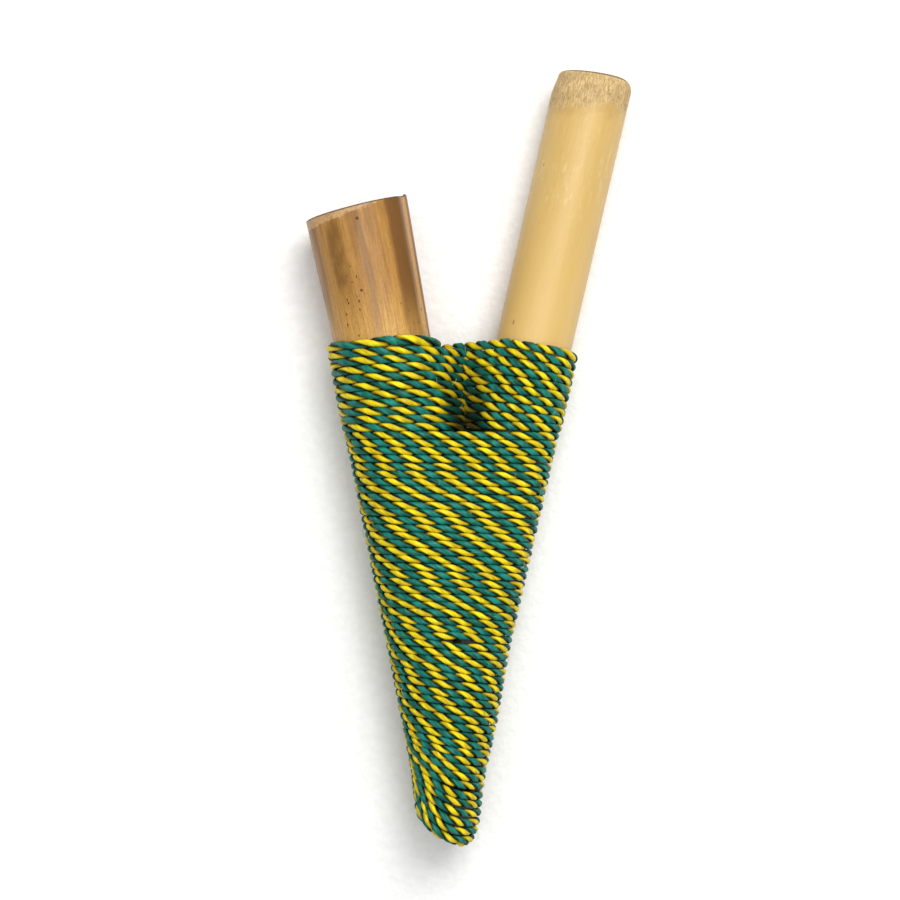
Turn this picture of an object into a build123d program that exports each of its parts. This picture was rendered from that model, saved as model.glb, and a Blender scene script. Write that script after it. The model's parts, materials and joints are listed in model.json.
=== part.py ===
from build123d import *
import math
import os

# A bamboo blow pipe: two short tubes mitred together into a V, sealed with wax, and bound from
# the crotch to the tip with one twisted cord. It lies flat, +Z up. +Y runs from the closed tip
# to the two open mouths, and +X to the right. The origin is under the middle of the pipe.
# Lengths are millimetres, angles are degrees.

# ---- driving dimensions ----
cord_d = 1.0                # the two-strand cord
wood_gap = 0.03             # room between the wood and the binding

crossing = Vector(-2.0, -31.1, 7.3)   # where the axes of the two arms cross

left_lean = -11.25          # from +Y, negative to the left
left_drop = 0.0
left_length = 64.5          # crossing to mouth, along the axis
left_r = 6.15               # under the binding
left_neck_r = 6.25          # where the binding ends
left_mouth_r = 6.65
left_bore_r = 3.4
left_ream_r = 3.6
left_mouth_skew = 2.6       # the end is cut this much off square
left_rim = 0.25             # rounding of the rim

right_lean = 12.95
right_drop = 1.46           # the thinner arm slopes down until its cord lies on the table
right_length = 82.3
right_r = 4.9
right_neck_r = 4.92
right_mouth_r = 5.05
right_bore_r = 2.8
right_ream_r = 3.0
right_rim = 0.9

ream_depth = 30.0           # both bores are reamed to size from the mouth to this depth
bore_edge = 0.25            # rounding of the bore at the mouth
taper_start = 36.0          # the arms thicken from here to the mouth
neck = 47.0                 # the last turn of cord, along each axis
tail = 20.0                 # each tube is made this much too long, then cut to the mitre

tube_end = 12.0             # the mitred wood stops this far below the crossing
plug_top = 5.0              # the wax fills both bores from here down

# Ovals around the mitred point: height above the crossing, reach to the left, half thickness,
# reach to the right, and the place of the ridge.
tip_core = [
    (-4.0, 5.55, 6.18, 4.7, 0.0),
    (-9.4, 4.48, 5.95, 3.45, 0.0),
    (-12.0, 4.1, 5.75, 3.0, 0.0),
    (-15.6, 3.8, 5.2, 2.6, 0.0),
    (-17.0, 1.9, 4.4, 2.2, 0.3),
    (-18.0, 0.0, 3.0, 1.6, 0.8),
]
tip_cover = [
    (-17.4, 2.6, 5.0, 3.2, 0.3),
    (-19.1, -0.2, 2.5, 2.2, 1.0),
]
ridge_half_w = 0.2
seam_end = 6.0              # above here the binding bridges the seam between the arms
body_rises = [34.5, 22.0, 12.0, seam_end]

straight_top = body_rises[0]   # above here the cord goes round each arm in a figure of eight
collar_start = 30.0
web_half = 1.2              # the crossings of the figure of eight, half their thickness
web_top = 44.5

crotch_top = 30.0           # wax in the crotch, above the crossing
crotch_bottom = 11.0
crotch_half = 4.4           # half its thickness
crotch_top_half_w = 4.0
crotch_bottom_half_w = 1.6


# ---- the arms' axes ----
def axis_dir(lean, drop):
    """The direction of an arm, from the crossing to its mouth."""
    level = math.cos(math.radians(drop))
    return Vector(
        math.sin(math.radians(lean)) * level,
        math.cos(math.radians(lean)) * level,
        -math.sin(math.radians(drop)),
    )


def side_dir(lean):
    """Level and square to an arm, to the right."""
    return Vector(math.cos(math.radians(lean)), -math.sin(math.radians(lean)), 0)


def wall_plane(lean, drop):
    """Local X runs along the arm's axis, and local Y is its radius."""
    along = axis_dir(lean, drop)
    return Plane(origin=crossing, x_dir=along, z_dir=side_dir(lean).cross(along))


def end_plane(lean, drop, distance, skew=0.0):
    """A cut across an arm, facing the mouth."""
    return Plane(
        origin=crossing + axis_dir(lean, drop) * distance,
        x_dir=side_dir(lean - skew),
        z_dir=axis_dir(lean - skew, drop),
    )


left_dir = axis_dir(left_lean, left_drop)
right_dir = axis_dir(right_lean, right_drop)
mitre = Plane(origin=crossing, x_dir=(0, 1, 0), z_dir=(1, 0, 0))


def cross_plane(rise):
    """The upright plane across the pipe, this far above the crossing. It faces the tip."""
    return Plane(origin=crossing + Vector(0, rise, 0), x_dir=(1, 0, 0), z_dir=(0, -1, 0))


def arm_rod(lean, drop, low, high, radius):
    """A plain round rod along an arm's axis."""
    with BuildPart() as rod:
        with BuildSketch(end_plane(lean, drop, low)):
            Circle(radius)
        extrude(amount=high - low)
    return rod.part


# ---- left arm: the shorter, wider, darker tube ----
with BuildPart() as left_arm:
    with BuildSketch(wall_plane(left_lean, left_drop)):
        with BuildLine():
            Polyline(
                (-tail, left_bore_r),
                (-tail, left_r),
                (taper_start, left_r),
                (neck, left_neck_r),
                (left_length + 1, left_mouth_r),
                (left_length + 1, left_ream_r),
                (left_length - ream_depth, left_ream_r),
                (left_length - ream_depth, left_bore_r),
                close=True,
            )
        make_face()
    revolve(axis=Axis(crossing, left_dir))
    split(bisect_by=end_plane(left_lean, left_drop, left_length, left_mouth_skew), keep=Keep.BOTTOM)
    split(bisect_by=mitre, keep=Keep.BOTTOM)
    split(bisect_by=cross_plane(-tube_end), keep=Keep.BOTTOM)
    left_end = left_arm.faces().filter_by(GeomType.PLANE).sort_by(Axis(crossing, left_dir))[-1]
    fillet(left_end.outer_wire().edges(), left_rim)
    left_end = left_arm.faces().filter_by(GeomType.PLANE).sort_by(Axis(crossing, left_dir))[-1]
    fillet(left_end.inner_wires()[0].edges(), bore_edge)
left_arm.part.label = "left_arm"

# ---- right arm: the longer, thinner, paler tube ----
with BuildPart() as right_arm:
    with BuildSketch(wall_plane(right_lean, right_drop)):
        with BuildLine():
            Polyline(
                (-tail, right_bore_r),
                (-tail, right_r),
                (taper_start, right_r),
                (neck, right_neck_r),
                (right_length, right_mouth_r),
                (right_length, right_ream_r),
                (right_length - ream_depth, right_ream_r),
                (right_length - ream_depth, right_bore_r),
                close=True,
            )
        make_face()
    revolve(axis=Axis(crossing, right_dir))
    split(bisect_by=mitre, keep=Keep.TOP)
    split(bisect_by=cross_plane(-tube_end), keep=Keep.BOTTOM)
    right_end = right_arm.faces().filter_by(GeomType.PLANE).sort_by(Axis(crossing, right_dir))[-1]
    fillet(right_end.outer_wire().edges(), right_rim)
    right_end = right_arm.faces().filter_by(GeomType.PLANE).sort_by(Axis(crossing, right_dir))[-1]
    fillet(right_end.inner_wires()[0].edges(), bore_edge)
right_arm.part.label = "right_arm"

# ---- crotch wax: fills the fork and the two seams above the mitre ----
left_rod = arm_rod(left_lean, left_drop, -tail, neck, left_r)
right_rod = arm_rod(right_lean, right_drop, -tail, neck, right_r)

with BuildPart() as crotch_wax:
    with BuildSketch(Plane.XY.offset(crossing.Z - crotch_half)):
        with BuildLine():
            Polyline(
                (crossing.X - crotch_bottom_half_w, crossing.Y + crotch_bottom),
                (crossing.X + crotch_bottom_half_w, crossing.Y + crotch_bottom),
                (crossing.X + crotch_top_half_w, crossing.Y + crotch_top),
                (crossing.X - crotch_top_half_w, crossing.Y + crotch_top),
                close=True,
            )
        make_face()
    extrude(amount=2 * crotch_half)
    add(split(left_rod, bisect_by=mitre, keep=Keep.BOTTOM, mode=Mode.PRIVATE), mode=Mode.SUBTRACT)
    add(split(right_rod, bisect_by=mitre, keep=Keep.TOP, mode=Mode.PRIVATE), mode=Mode.SUBTRACT)
crotch_wax.part.label = "crotch_wax"


# ---- ovals across the pipe, for the wax and the binding ----
def oval(rise, left_arc, right_arc):
    """Two arcs joined by straight runs. Each arc is its top, its middle and its bottom."""
    with BuildSketch(cross_plane(rise)) as shape:
        with BuildLine():
            ThreePointArc(*left_arc)
            Line(left_arc[2], right_arc[2])
            ThreePointArc(*right_arc)
            Line(right_arc[0], left_arc[0])
        make_face()
    return shape.sketch


def tip_oval(rise, left, half_height, right, ridge, cover=0.0):
    """A pointed oval around the mitred point, made larger all round by the cover."""
    top = half_height + cover
    return oval(
        rise,
        [(ridge - ridge_half_w, top), (-left - cover, 0), (ridge - ridge_half_w, -top)],
        [(ridge + ridge_half_w, top), (right + cover, 0), (ridge + ridge_half_w, -top)],
    )


def arms_oval(rise, cover):
    """The tight outline around both arms, made larger all round by the cover."""
    left_center = Vector(rise * math.tan(math.radians(left_lean)), 0)
    right_center = Vector(
        rise * math.tan(math.radians(right_lean)),
        -rise * math.tan(math.radians(right_drop)) / math.cos(math.radians(right_lean)),
    )
    left_reach = left_r / math.cos(math.radians(left_lean)) + wood_gap + cover
    right_reach = right_r / math.cos(math.radians(right_lean)) + wood_gap + cover
    span = right_center - left_center
    outward = span.normalized()
    upward = Vector(-outward.Y, outward.X)
    tilt = math.asin((left_reach - right_reach) / span.length)
    top = outward * math.sin(tilt) + upward * math.cos(tilt)
    bottom = outward * math.sin(tilt) - upward * math.cos(tilt)
    return oval(
        rise,
        [left_center + side * left_reach for side in (top, -outward, bottom)],
        [right_center + side * right_reach for side in (top, outward, bottom)],
    )


# ---- tip wax: plugs both bores and rounds off the mitred point ----
with BuildPart() as tip_wax:
    loft(
        [tip_oval(-plug_top, 3.6, 4.0, 2.7, 0.0), tip_oval(-tube_end, 2.4, 3.2, 1.3, 0.0)],
        ruled=True,
    )
    add(left_arm.part, mode=Mode.SUBTRACT)
    add(right_arm.part, mode=Mode.SUBTRACT)
    loft([tip_oval(*section, -wood_gap) for section in tip_core[2:]], ruled=True)
tip_wax.part.label = "tip_wax"

# ---- upper lashing: a collar round each arm, joined by the crossings between them ----
left_collar_r = left_neck_r + wood_gap
right_collar_r = right_neck_r + wood_gap

with BuildPart() as upper_lashing:
    with BuildSketch(Plane.XY.offset(crossing.Z - web_half)):
        with BuildLine():
            Polyline(
                crossing + left_dir * collar_start,
                crossing + right_dir * collar_start,
                crossing + right_dir * web_top,
                crossing + left_dir * web_top,
                close=True,
            )
        make_face()
    extrude(amount=2 * web_half)
    add(arm_rod(left_lean, left_drop, collar_start, neck, left_collar_r + cord_d))
    add(arm_rod(right_lean, right_drop, collar_start, neck, right_collar_r + cord_d))
    add(arm_rod(left_lean, left_drop, 0, left_length, left_collar_r), mode=Mode.SUBTRACT)
    add(arm_rod(right_lean, right_drop, 0, right_length, right_collar_r), mode=Mode.SUBTRACT)
    split(bisect_by=cross_plane(straight_top), keep=Keep.BOTTOM)
upper_lashing.part.label = "upper_lashing"

# ---- body binding: level turns round both arms ----
with BuildPart() as body_binding:
    loft([arms_oval(rise, cord_d) for rise in body_rises], ruled=True)
    loft([arms_oval(rise, 0.0) for rise in body_rises], ruled=True, mode=Mode.SUBTRACT)
    add(left_arm.part, mode=Mode.SUBTRACT)
    add(right_arm.part, mode=Mode.SUBTRACT)
body_binding.part.label = "body_binding"

# ---- tip binding: the same cord, closing over the wax ----
with BuildPart() as tip_binding:
    loft(
        [arms_oval(seam_end, cord_d)]
        + [tip_oval(*section, cord_d) for section in tip_core[:4]]
        + [tip_oval(*section) for section in tip_cover],
        ruled=True,
    )
    loft(
        [arms_oval(seam_end, 0.0)] + [tip_oval(*section) for section in tip_core],
        ruled=True,
        mode=Mode.SUBTRACT,
    )
    add(left_arm.part, mode=Mode.SUBTRACT)
    add(right_arm.part, mode=Mode.SUBTRACT)
tip_binding.part.label = "tip_binding"

# ---- one file for each piece ----
os.makedirs("parts", exist_ok=True)
export_step(left_arm.part, "parts/left_arm.step")
export_step(right_arm.part, "parts/right_arm.step")
export_step(crotch_wax.part, "parts/crotch_wax.step")
export_step(tip_wax.part, "parts/tip_wax.step")
export_step(upper_lashing.part, "parts/upper_lashing.step")
export_step(body_binding.part, "parts/body_binding.step")
export_step(tip_binding.part, "parts/tip_binding.step")
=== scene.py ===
import json
import math

import bpy
import numpy as np
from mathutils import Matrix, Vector
from mathutils.bvhtree import BVHTree


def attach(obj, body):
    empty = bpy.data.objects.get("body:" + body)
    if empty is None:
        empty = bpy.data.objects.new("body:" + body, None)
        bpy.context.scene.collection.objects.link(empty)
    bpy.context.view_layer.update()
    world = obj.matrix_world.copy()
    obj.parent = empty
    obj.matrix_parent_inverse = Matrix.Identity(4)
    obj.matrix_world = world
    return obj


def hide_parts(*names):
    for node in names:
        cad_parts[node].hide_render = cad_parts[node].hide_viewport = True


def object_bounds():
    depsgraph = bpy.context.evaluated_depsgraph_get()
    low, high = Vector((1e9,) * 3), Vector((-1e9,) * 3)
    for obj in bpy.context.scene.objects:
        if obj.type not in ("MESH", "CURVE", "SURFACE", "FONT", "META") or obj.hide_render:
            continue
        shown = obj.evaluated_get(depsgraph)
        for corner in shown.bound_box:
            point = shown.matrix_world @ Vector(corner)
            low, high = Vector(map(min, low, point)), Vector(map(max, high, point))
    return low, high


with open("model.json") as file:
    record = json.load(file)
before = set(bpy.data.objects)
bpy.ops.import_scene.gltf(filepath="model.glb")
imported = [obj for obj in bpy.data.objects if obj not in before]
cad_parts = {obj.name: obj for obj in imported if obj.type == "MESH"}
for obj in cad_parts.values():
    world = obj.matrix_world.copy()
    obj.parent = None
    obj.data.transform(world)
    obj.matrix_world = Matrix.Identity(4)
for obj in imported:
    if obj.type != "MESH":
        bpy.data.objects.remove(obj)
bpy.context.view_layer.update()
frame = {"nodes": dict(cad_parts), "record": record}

MM = 0.001
rng = np.random.default_rng(seed=11)


# ---- the pipe's own frame
# Everything below is worked out in millimetres from the point where the two arms' axes cross,
# with +Y up the fork, and moved to the CAD frame when a mesh is made.
mounts = {m["name"]: m for m in frame["record"]["mounts"]}


def mount_axis(name):
    mount = mounts[name]
    direction = np.array(mount["axis"], float)
    return np.array(mount["pos_m"], float) / MM, direction / np.linalg.norm(direction)


left_point, left_dir = mount_axis("left_mouth_bore")
right_point, right_dir = mount_axis("right_mouth_bore")
normal = np.cross(left_dir, right_dir)
left_reach = np.dot(np.cross(right_point - left_point, right_dir), normal) / np.dot(normal, normal)
CROSSING = left_point + left_dir * left_reach


def node_points(*names):
    """The corners of CAD nodes, in millimetres from the crossing."""
    points = []
    for name in names:
        mesh = frame["nodes"][name].data
        co = np.empty(len(mesh.vertices) * 3)
        mesh.vertices.foreach_get("co", co)
        points.append(co.reshape(-1, 3) / MM - CROSSING)
    return np.vstack(points)


SLIM_LENGTH = 40.0  # the stretch of an arm from the crossing that the cord covers


def wood_radius(node, direction):
    """How thick an arm is under the cord."""
    points = node_points(node)
    along = points @ direction
    radius = np.linalg.norm(points - along[:, None] * direction, axis=1)
    return radius[(along > 0) & (along < SLIM_LENGTH)].max()


LEFT_LENGTH = (node_points("left_arm") @ left_dir).max()
RIGHT_LENGTH = (node_points("right_arm") @ right_dir).max()
LEFT_R = wood_radius("left_arm", left_dir)
RIGHT_R = wood_radius("right_arm", right_dir)

CORD_R = 0.5  # the cord is 1 mm across


# ---- curves
def ease(low, high, value):
    """0 below low, 1 above high and smooth between them."""
    t = np.clip((value - low) / (high - low), 0, 1)
    return t * t * (3 - 2 * t)


def curve_at(anchors, at):
    """A smooth curve through (place, value) anchors: cubic between them."""
    x = np.array([a[0] for a in anchors], float)
    y = np.array([a[1] for a in anchors], float)
    slope = np.gradient(y, x)
    at = np.clip(np.asarray(at, float), x[0], x[-1])
    i = np.clip(np.searchsorted(x, at, side="right") - 1, 0, len(x) - 2)
    h = x[i + 1] - x[i]
    t = (at - x[i]) / h
    return (
        y[i] * (1 + 2 * t) * (1 - t) ** 2
        + slope[i] * h * t * (1 - t) ** 2
        + y[i + 1] * t * t * (3 - 2 * t)
        + slope[i + 1] * h * t * t * (t - 1)
    )


def unit(vectors):
    return vectors / np.linalg.norm(vectors, axis=1)[:, None]


def wander(count):
    """Smooth random values, mostly between -1 and 1."""
    return smooth_loop(rng.normal(0, 1, int(count)), 1)


def along_line(points):
    """How far along a line each of its points is."""
    steps = np.linalg.norm(np.diff(points[:, :3], axis=0), axis=1)
    return np.concatenate([[0], np.cumsum(steps)])


def resample(points, count):
    """The same line with this many points at even steps."""
    length = along_line(points)
    at = np.linspace(0, length[-1], count)
    return np.column_stack([np.interp(at, length, points[:, i]) for i in range(points.shape[1])])


def smooth_loop(values, passes):
    """A closed row of values, each one brought nearer to its neighbours."""
    for _ in range(passes):
        values = (np.roll(values, 1, 0) + 2 * values + np.roll(values, -1, 0)) / 4
    return values


def smooth_line(points, passes):
    """The same for an open line, whose two ends stay where they are."""
    for _ in range(passes):
        inner = (points[:-2] + 2 * points[1:-1] + points[2:]) / 4
        points = np.vstack([points[:1], inner, points[-1:]])
    return points


def cross2(a, b):
    return a[0] * b[1] - a[1] * b[0]


def hull(points):
    """Convex outline of flat points, turning left."""
    order = np.lexsort((points[:, 1], points[:, 0]))
    points = points[order]

    def half(sequence):
        chain = []
        for p in sequence:
            while len(chain) > 1 and cross2(chain[-1] - chain[-2], p - chain[-2]) <= 0:
                chain.pop()
            chain.append(p)
        return chain

    lower = half(points)
    upper = half(points[::-1])
    return np.array(lower[:-1] + upper[:-1])


# ---- objects and meshes
def new_object(name, data):
    obj = bpy.data.objects.new(name, data)
    bpy.context.scene.collection.objects.link(obj)
    return obj


def new_piece(name, points, faces):
    """Points are in millimetres from the crossing."""
    mesh = bpy.data.meshes.new(name)
    world = (np.asarray(points) + CROSSING) * MM
    mesh.from_pydata([tuple(p) for p in world], [], faces)
    mesh.validate()
    mesh.polygons.foreach_set("use_smooth", [True] * len(mesh.polygons))
    obj = new_object(name, mesh)
    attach(obj, "root")
    return obj


def tube_quads(count, sides):
    """The faces of a tube between its rings, as corner numbers."""
    i = np.arange(count - 1)[:, None] * sides
    j = np.arange(sides)[None, :]
    k = (j + 1) % sides
    return np.stack([i + j, i + k, i + sides + k, i + sides + j], axis=-1).reshape(-1, 4)


def tube_faces(count, sides):
    """All the faces of a tube with closed ends."""
    first = tuple(range(sides))[::-1]
    last = tuple(range((count - 1) * sides, count * sides))
    return [tuple(q) for q in tube_quads(count, sides).tolist()] + [first, last]


def add_uvs(obj, uvs):
    """Surface coordinates: a pair for each corner of each face."""
    obj.data.uv_layers.new(name="surface").data.foreach_set("uv", uvs.reshape(-1))


# ---- the cord's path
STRAIGHT_TOP = 33.85  # the first turn that goes straight across both arms
EIGHT_TURNS = 11  # turns above it: one round the left arm, the others in a figure of eight
BODY_TURNS = 50  # turns round both arms below it

# Height of some straight turns, counted from the top, where they cross the left and the right
# edge, and how far they sag between them: the last turns fan out and curl round the tip.
LEFT_EDGE = [(0, 33.85), (10, 24.0), (20, 14.2), (30, 4.6), (40, -5.2), (46, -9.6), (51, -12.6)]
RIGHT_EDGE = [(0, 33.8), (10, 23.6), (20, 13.45), (30, 3.2), (40, -7.3), (46, -13.6), (51, -18.8)]
SAG = [(0, 0.0), (38, 0.0), (42, 0.3), (46, 1.0), (51, 2.6)]
SAG_WAY = np.array([-0.75, -1.0])
# The edges themselves: x at the crossing's height, and how much x changes for each mm further up.
LEFT_SIDE = (-6.8, -0.199)
RIGHT_SIDE = (5.6, 0.23)
RIGHT_STEP = 0.45  # the right edge stands out this much more below the crossing
BEYOND = np.array([8.0, -2.0])  # a turn's curve is drawn out past both edges
PLAN_POINTS = 25

# Places where the turns have been pushed apart: the turn above the gap, its left and right ends
# and half its height.
GAPS = [(26, -0.9, 2.8, 0.26), (44, -1.8, 3.0, 0.12)]
GAP_FADE = 1.3  # in turns
GAP_SOFTNESS = 0.25


def pushed_apart(turn, x):
    """How far a turn is moved up by the gaps near it."""
    total = np.zeros_like(x)
    for above, left, right, half in GAPS:
        away = turn - above - 0.5
        inside = 1 / (1 + np.exp((left - x) / GAP_SOFTNESS))
        inside = inside / (1 + np.exp((x - right) / GAP_SOFTNESS))
        total -= np.sign(away) * half * math.exp((0.5 - abs(away)) / GAP_FADE) * inside
    return total


JITTER = 0.04  # how far a turn strays, at this many places across the front
JITTER_PLACES = 5
ROW_JITTER = rng.normal(0, JITTER, (BODY_TURNS + 2, JITTER_PLACES))


def sleeve_tree():
    """The outside of the plain CAD binding, which the cord has to fit."""
    points = []
    faces = []
    for name in ("body_binding", "tip_binding"):
        mesh = frame["nodes"][name].data
        start = len(points)
        points += [tuple(p) for p in node_points(name)]
        faces += [tuple(start + v for v in p.vertices) for p in mesh.polygons]
    return BVHTree.FromPolygons(points, faces)


SLEEVE = sleeve_tree()
FAR = 40.0


def slab(x, y):
    """Top and bottom of the sleeve over a point, or None beside it."""
    top = SLEEVE.ray_cast(Vector((x, y, FAR)), Vector((0, 0, -1)))[0]
    if top is None:
        return None
    bottom = SLEEVE.ray_cast(Vector((x, y, -FAR)), Vector((0, 0, 1)))[0]
    return top.z, bottom.z


def plan_curve(turn):
    """A turn seen from above: a line from left to right that sags towards the tip's left."""
    y_left = curve_at(LEFT_EDGE, turn)
    y_right = curve_at(RIGHT_EDGE, turn)
    left = np.array([LEFT_SIDE[0] + LEFT_SIDE[1] * y_left, y_left])
    right = np.array([RIGHT_SIDE[0] + RIGHT_SIDE[1] * y_right, y_right])
    if y_right < 0:
        right[0] += RIGHT_STEP
    middle = (left + right) / 2 + SAG_WAY * curve_at(SAG, turn)
    t = np.linspace(0, 1, PLAN_POINTS)[:, None]
    curve = left * (1 - t) ** 2 + 2 * middle * t * (1 - t) + right * t * t
    curve[:, 1] += pushed_apart(turn, curve[:, 0])
    curve[:, 1] += np.interp(t[:, 0], np.linspace(0, 1, JITTER_PLACES), ROW_JITTER[turn])
    return np.vstack([left - BEYOND, curve, right + BEYOND])


LOOP_POINTS = 120
SEARCH_STEPS = 260  # to find where a turn leaves the sleeve, first roughly
HALVINGS = 14
SECTION_STEPS = 90
OUTLINE_POINTS = 720
ROUNDING_PASSES = 12


def binding_loop(turn):
    """One turn round both arms: starts at the left edge, crosses the front to the right edge and
    comes back behind."""
    curve = plan_curve(turn)
    length = along_line(curve)

    def place(a):
        return np.interp(a, length, curve[:, 0]), np.interp(a, length, curve[:, 1])

    coarse = np.linspace(0, length[-1], SEARCH_STEPS)
    inside = [a for a in coarse if slab(*place(a))]
    step = coarse[1] - coarse[0]

    def edge(good, bad):
        for _ in range(HALVINGS):
            middle = (good + bad) / 2
            if slab(*place(middle)):
                good = middle
            else:
                bad = middle
        return good

    first = edge(inside[0], inside[0] - step)
    last = edge(inside[-1], inside[-1] + step)
    outline = []
    for angle in np.linspace(0, math.pi, SECTION_STEPS):
        a = (first + last) / 2 - (last - first) / 2 * math.cos(angle)
        heights = slab(*place(a))
        if heights:
            outline.append((a, heights[0]))
            outline.append((a, heights[1]))
    outer = hull(np.array(outline))
    outer = np.vstack([outer, outer[:1]])
    outer = resample(outer, OUTLINE_POINTS + 1)[:-1]
    tangent = unit(smooth_loop(np.roll(outer, -1, 0) - np.roll(outer, 1, 0), ROUNDING_PASSES))
    inward = np.column_stack([-tangent[:, 1], tangent[:, 0]])
    inner = smooth_loop(outer + inward * CORD_R, ROUNDING_PASSES)
    start = np.argmin(inner[:, 0])
    inner = np.roll(inner, -start, 0)[::-1]
    inner = np.vstack([inner[-1:], inner])
    inner = resample(inner, LOOP_POINTS + 1)[:-1]
    x, y = place(inner[:, 0])
    return np.column_stack([x, y, inner[:, 1]])


DROOP_START = 44  # from this turn on the turns spread a little towards the tip
TIP_DROOP = np.array([-0.05, -0.55])
TIP_BULGE = np.array([-0.15, -0.15])  # the same, but at their middle only
BULGE_LEAN = 0.7  # below 1 the bulge is nearer to the left
CLOSING_TURNS = 3.4
CLOSING_FADE = 0.6  # turns in which the spiral comes up to the sleeve's surface
CORE_DEPTH = 5.0


def closing_turns(last):
    """The cord's end, wound inwards in an oval spiral over the wax at the tip, and the point
    inside the tip that the spiral faces away from."""
    centre = last.mean(axis=0)
    axes = np.linalg.svd(last - centre)[2]
    outward = axes[2] * -np.sign(axes[2][1])
    flat = (last - centre) @ axes[:2].T
    reach = np.abs(flat).max(axis=0)
    height = (last - centre) @ outward
    points = []
    for i in range(int(CLOSING_TURNS * LOOP_POINTS)):
        turned = i / LOOP_POINTS
        j = i % LOOP_POINTS
        shrunk = flat[j] * (1 - turned * 2 * CORD_R / reach)
        point = centre + shrunk @ axes[:2]
        hit = SLEEVE.ray_cast(Vector(point + outward * FAR), Vector(-outward))[0]
        under = height[j]
        if hit is not None:
            share = ease(0.0, CLOSING_FADE, turned)
            under += share * ((np.array(hit) - centre) @ outward - CORD_R - under)
        points.append(point + outward * under)
    return np.array(points), centre - outward * CORE_DEPTH


def binding_path():
    """All the straight turns and the spiral that closes the tip. Each turn follows its own line in
    front and steps down to the next one behind."""
    loops = [binding_loop(turn) for turn in range(BODY_TURNS + 2)]
    way_round = np.arange(LOOP_POINTS)[:, None] / LOOP_POINTS
    stepping = np.clip(way_round * 2 - 1, 0, 1)
    for turn, loop in enumerate(loops):
        late = ease(DROOP_START, BODY_TURNS + 1, turn)
        across = (loop[:, 0] - loop[:, 0].min()) / np.ptp(loop[:, 0])
        loop[:, :2] += TIP_DROOP * late
        loop[:, :2] += TIP_BULGE * late * np.sin(math.pi * across ** BULGE_LEAN)[:, None]
    closing, core = closing_turns(loops[-1])
    path = []
    passes = []
    for turn in range(BODY_TURNS + 1):
        path.append(loops[turn] * (1 - stepping) + loops[turn + 1] * stepping)
        start = turn * LOOP_POINTS
        passes.append((start, start + LOOP_POINTS // 2, "body", turn))
    path = np.vstack(path + [closing])
    return np.column_stack([path, np.ones(len(path))]), passes, core


# Heights of the figure of eight's turns at the left arm's outer side, at the left arm's side of
# the gap, at the right arm's outer side, and at the right arm's side of the gap.
LEFT_OUT = [(0, 45.25), (1, 44.1), (5, 39.75), (11, 33.85)]
LEFT_GAP = [(0, 45.6), (1, 44.8), (5, 40.45), (7, 38.2), (10, 34.95)]
RIGHT_OUT = [(0, 43.85), (1, 42.75), (5, 38.75), (9, 34.8)]
RIGHT_GAP = [(0, 45.8), (1, 44.65), (5, 40.0), (9, 35.2)]
LEFT_WRAP_R = LEFT_R + 0.1 + CORD_R
RIGHT_WRAP_R = RIGHT_R + 0.05 + CORD_R
START_DEEPER = 0.1  # the cord's start lies closer to the wood
START_ANGLES = (4.3, math.pi + 0.05)  # behind the left arm
START_HEIGHTS = (43.9, 45.2)
START_POINTS = 20
LEFT_POINTS = 40
RIGHT_POINTS = 36
BACK_POINTS = 24
TOP_BUMP = (0.6, 0.62, 0.22)  # the first turn rides up: how far, where on its way, how widely
TOP_END = math.radians(-10)  # where that turn leaves the front of the arm
TOP_BACK = math.radians(-14)
ARM_BACK = math.radians(-176)  # where a turn behind the left arm reaches its outer side
RIGHT_EDGE_ANGLE = 0.03
GAP_DROP = 0.9  # how far the cord drops on its way through the gap


def arm_frame(direction):
    """An arm's right side and its front, square to its axis."""
    side = np.cross(direction, (0, 0, 1))
    side /= np.linalg.norm(side)
    return side, np.cross(side, direction)


def wrap_points(direction, angles, heights, deeper=0.0):
    """Points round an arm, at these angles from its right side over the top, each brought to a
    height up the fork."""
    radius = (LEFT_WRAP_R if direction is left_dir else RIGHT_WRAP_R) - deeper
    side, up = arm_frame(direction)
    offset = radius * (np.cos(angles)[:, None] * side + np.sin(angles)[:, None] * up)
    along = (heights - offset[:, 1]) / direction[1]
    points = along[:, None] * direction + offset
    facing = 1.0 if direction[0] < 0 else -1.0
    return np.column_stack([points, np.full(len(points), facing)])


def tangent_angle(height):
    """Where the cord leaves one arm for the other."""
    left = left_dir * height / left_dir[1]
    right = right_dir * height / right_dir[1]
    return math.acos((LEFT_WRAP_R + RIGHT_WRAP_R) / np.linalg.norm(right - left))


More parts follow.
